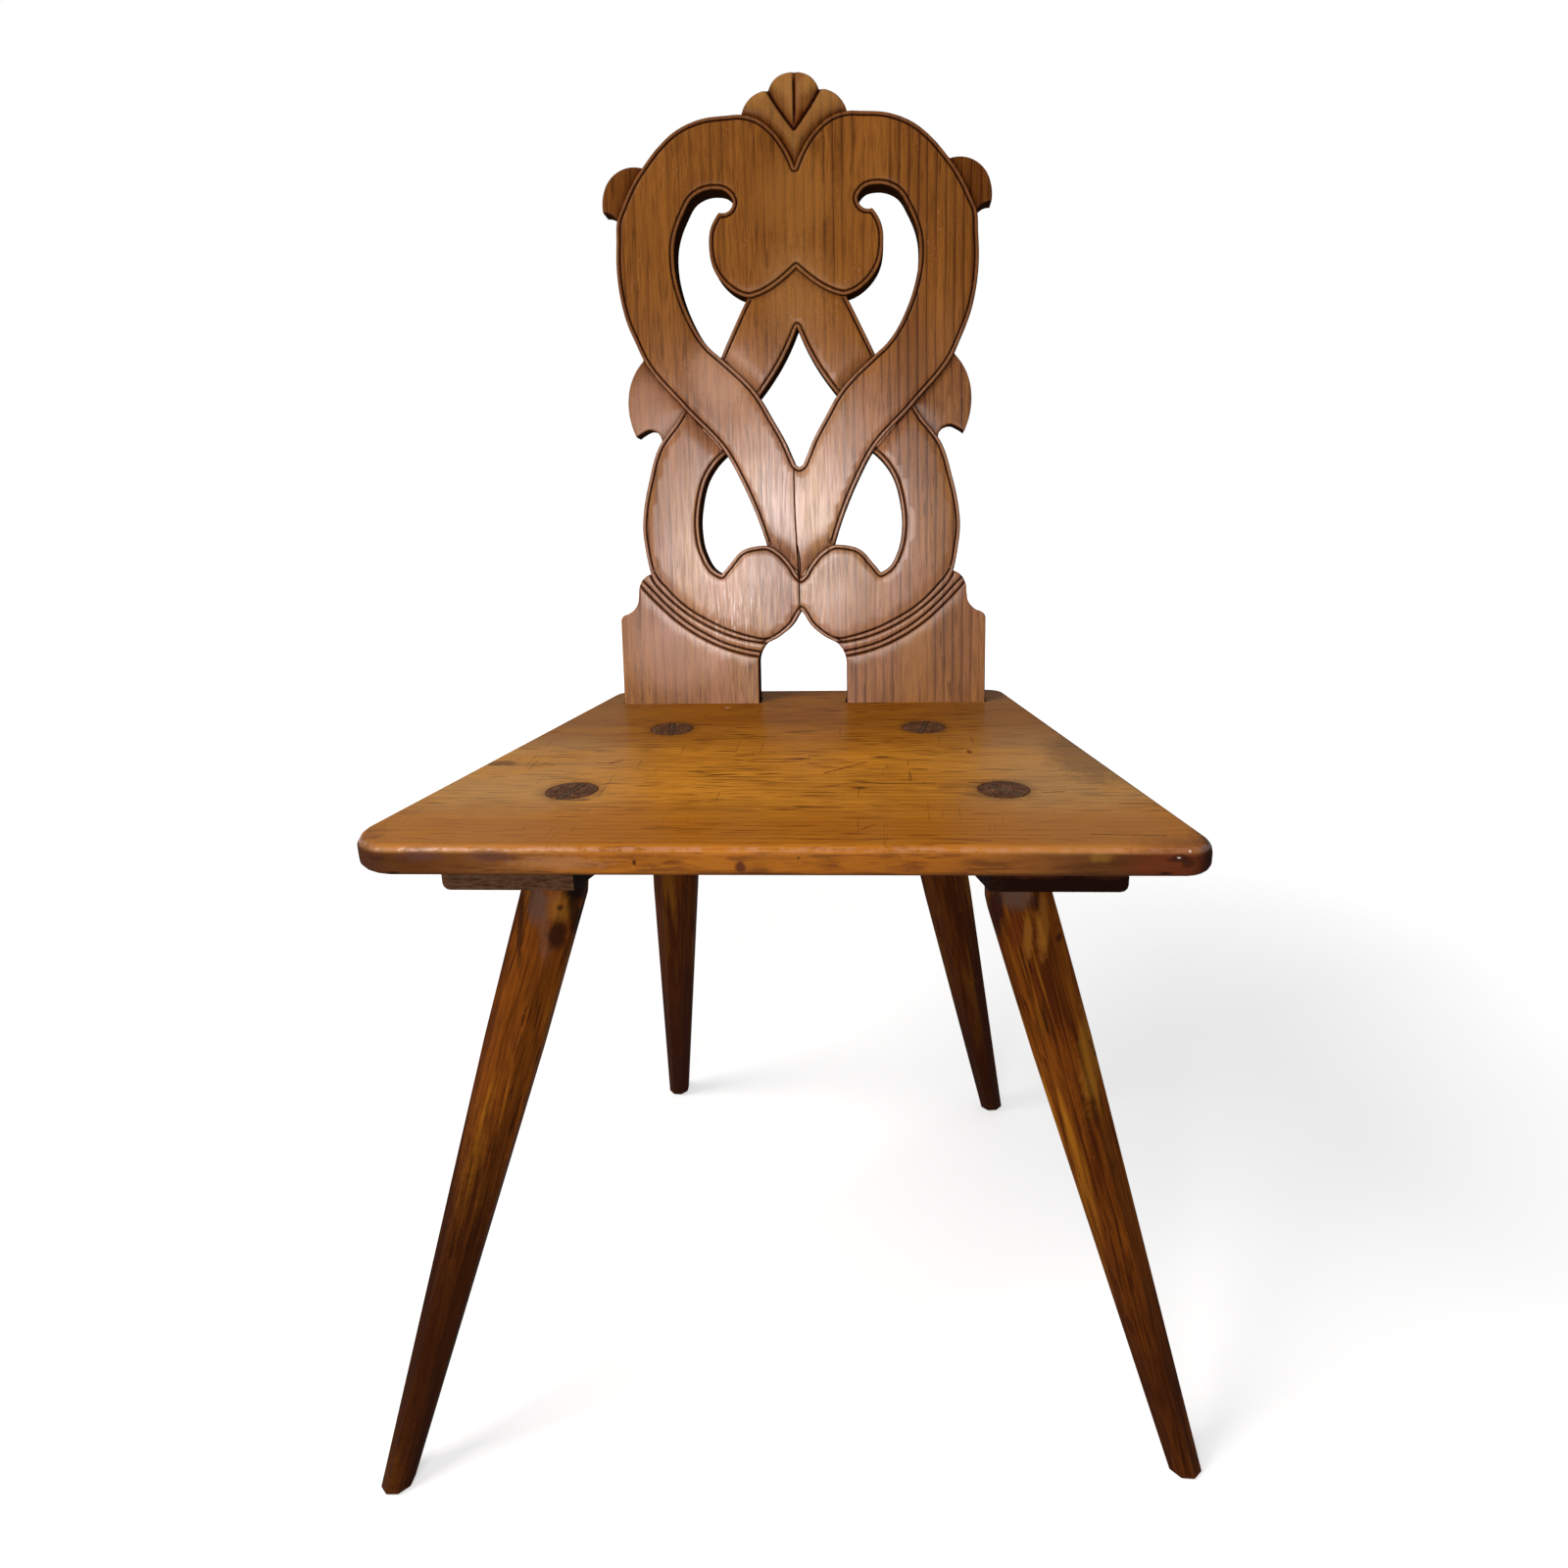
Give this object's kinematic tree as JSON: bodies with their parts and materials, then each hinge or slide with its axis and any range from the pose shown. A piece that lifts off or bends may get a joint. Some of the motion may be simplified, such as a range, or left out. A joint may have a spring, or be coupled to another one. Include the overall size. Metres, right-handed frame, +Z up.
{
  "type": "board chair",
  "caption": "Wooden board chair with a trapezoid plank seat on splayed octagonal legs and a pierced, carved interlace back.",
  "frame": {"origin": "on the floor, below the middle of the chair's plan", "axes": "+Z up, the sitter faces -Y, +X to the right of someone who looks at the chair's front"},
  "size_m": [0.5272, 0.444, 0.9011],
  "materials": {
    "seat_wood": "worn wax polish over honey-coloured wood",
    "back_wood": "waxed, with dark dirt in the carving",
    "leg_wood": "worn polish, darker towards the feet",
    "batten_wood": "dull, dark and rough",
    "wedge_wood": "dull end grain",
    "key_wood": "dull, unpolished"
  },
  "bodies": {
    "root": {"seat_board": "seat_wood", "left_batten": "batten_wood", "right_batten": "batten_wood", "back_board": "back_wood", "front_left_leg": "leg_wood", "front_right_leg": "leg_wood", "rear_left_leg": "leg_wood", "rear_right_leg": "leg_wood", "front_left_wedge": "wedge_wood", "front_right_wedge": "wedge_wood", "rear_left_wedge": "wedge_wood", "rear_right_wedge": "wedge_wood", "left_back_key": "key_wood", "right_back_key": "key_wood"}
  },
  "joints": []
}
